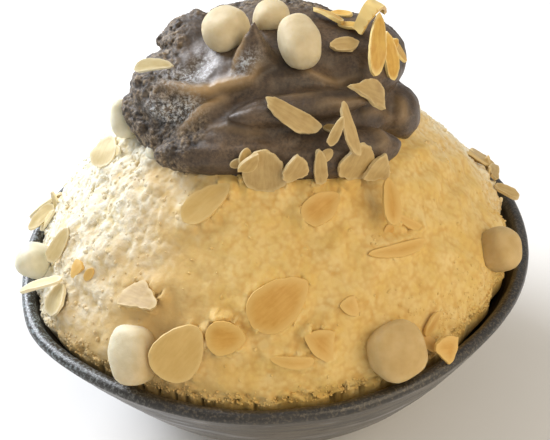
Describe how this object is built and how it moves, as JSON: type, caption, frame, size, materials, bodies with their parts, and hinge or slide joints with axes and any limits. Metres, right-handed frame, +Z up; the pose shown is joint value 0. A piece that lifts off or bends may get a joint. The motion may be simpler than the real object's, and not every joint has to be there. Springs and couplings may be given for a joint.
{
  "type": "bowl of patbingsu",
  "caption": "Heaped shaved milk ice in a dark stoneware bowl, topped with sweet red bean paste, soft rice cakes and sliced almonds.",
  "frame": {"origin": "centre of the foot ring, on the surface that the bowl stands on", "axes": "+Z up, -Y towards the viewer of the picture, +X to its right"},
  "size_m": [0.18, 0.1804, 0.1524],
  "materials": {
    "stoneware": "hand-thrown stoneware, dark slate glaze, speckled on the lip and browner and half glossy outside",
    "milk_ice": "fluffy shaved milk ice, white to golden cream, wet with condensed milk in places",
    "red_bean": "sweet red bean paste, dark brown, wet and folded, lumpy with whole beans",
    "rice_cake": "soft steamed rice cake, milky and slightly translucent",
    "almond": "blanched almond slice, cream to light tan, fine fibres and a paler edge"
  },
  "bodies": {
    "root": {"stoneware_bowl": "stoneware", "shaved_ice": "milk_ice", "red_bean_paste": "red_bean", "rice_cake_01": "rice_cake", "rice_cake_02": "rice_cake", "rice_cake_03": "rice_cake", "rice_cake_04": "rice_cake", "rice_cake_05": "rice_cake", "rice_cake_06": "rice_cake", "rice_cake_07": "rice_cake", "rice_cake_08": "rice_cake", "rice_cake_09": "rice_cake", "rice_cake_10": "rice_cake", "rice_cake_11": "rice_cake", "rice_cake_12": "rice_cake", "almond_slice_01": "almond", "almond_slice_02": "almond", "almond_slice_03": "almond", "almond_slice_04": "almond", "almond_slice_05": "almond", "almond_slice_06": "almond", "almond_slice_07": "almond", "almond_slice_08": "almond", "almond_slice_09": "almond", "almond_slice_10": "almond", "almond_slice_11": "almond", "almond_slice_12": "almond", "almond_slice_13": "almond", "almond_slice_14": "almond", "almond_slice_15": "almond", "almond_slice_16": "almond", "almond_slice_17": "almond", "almond_slice_18": "almond", "almond_slice_19": "almond", "almond_slice_20": "almond", "almond_slice_21": "almond", "almond_slice_22": "almond", "almond_slice_23": "almond", "almond_slice_24": "almond", "almond_slice_25": "almond", "almond_slice_26": "almond", "almond_slice_27": "almond", "almond_slice_28": "almond", "almond_slice_29": "almond", "almond_slice_30": "almond", "almond_slice_31": "almond", "almond_slice_32": "almond", "almond_slice_33": "almond", "almond_slice_34": "almond", "almond_slice_35": "almond", "almond_slice_36": "almond", "almond_slice_37": "almond", "almond_slice_38": "almond", "almond_slice_39": "almond", "almond_slice_40": "almond", "almond_slice_41": "almond", "almond_slice_42": "almond", "almond_slice_43": "almond", "almond_slice_44": "almond", "almond_slice_45": "almond"}
  },
  "joints": []
}
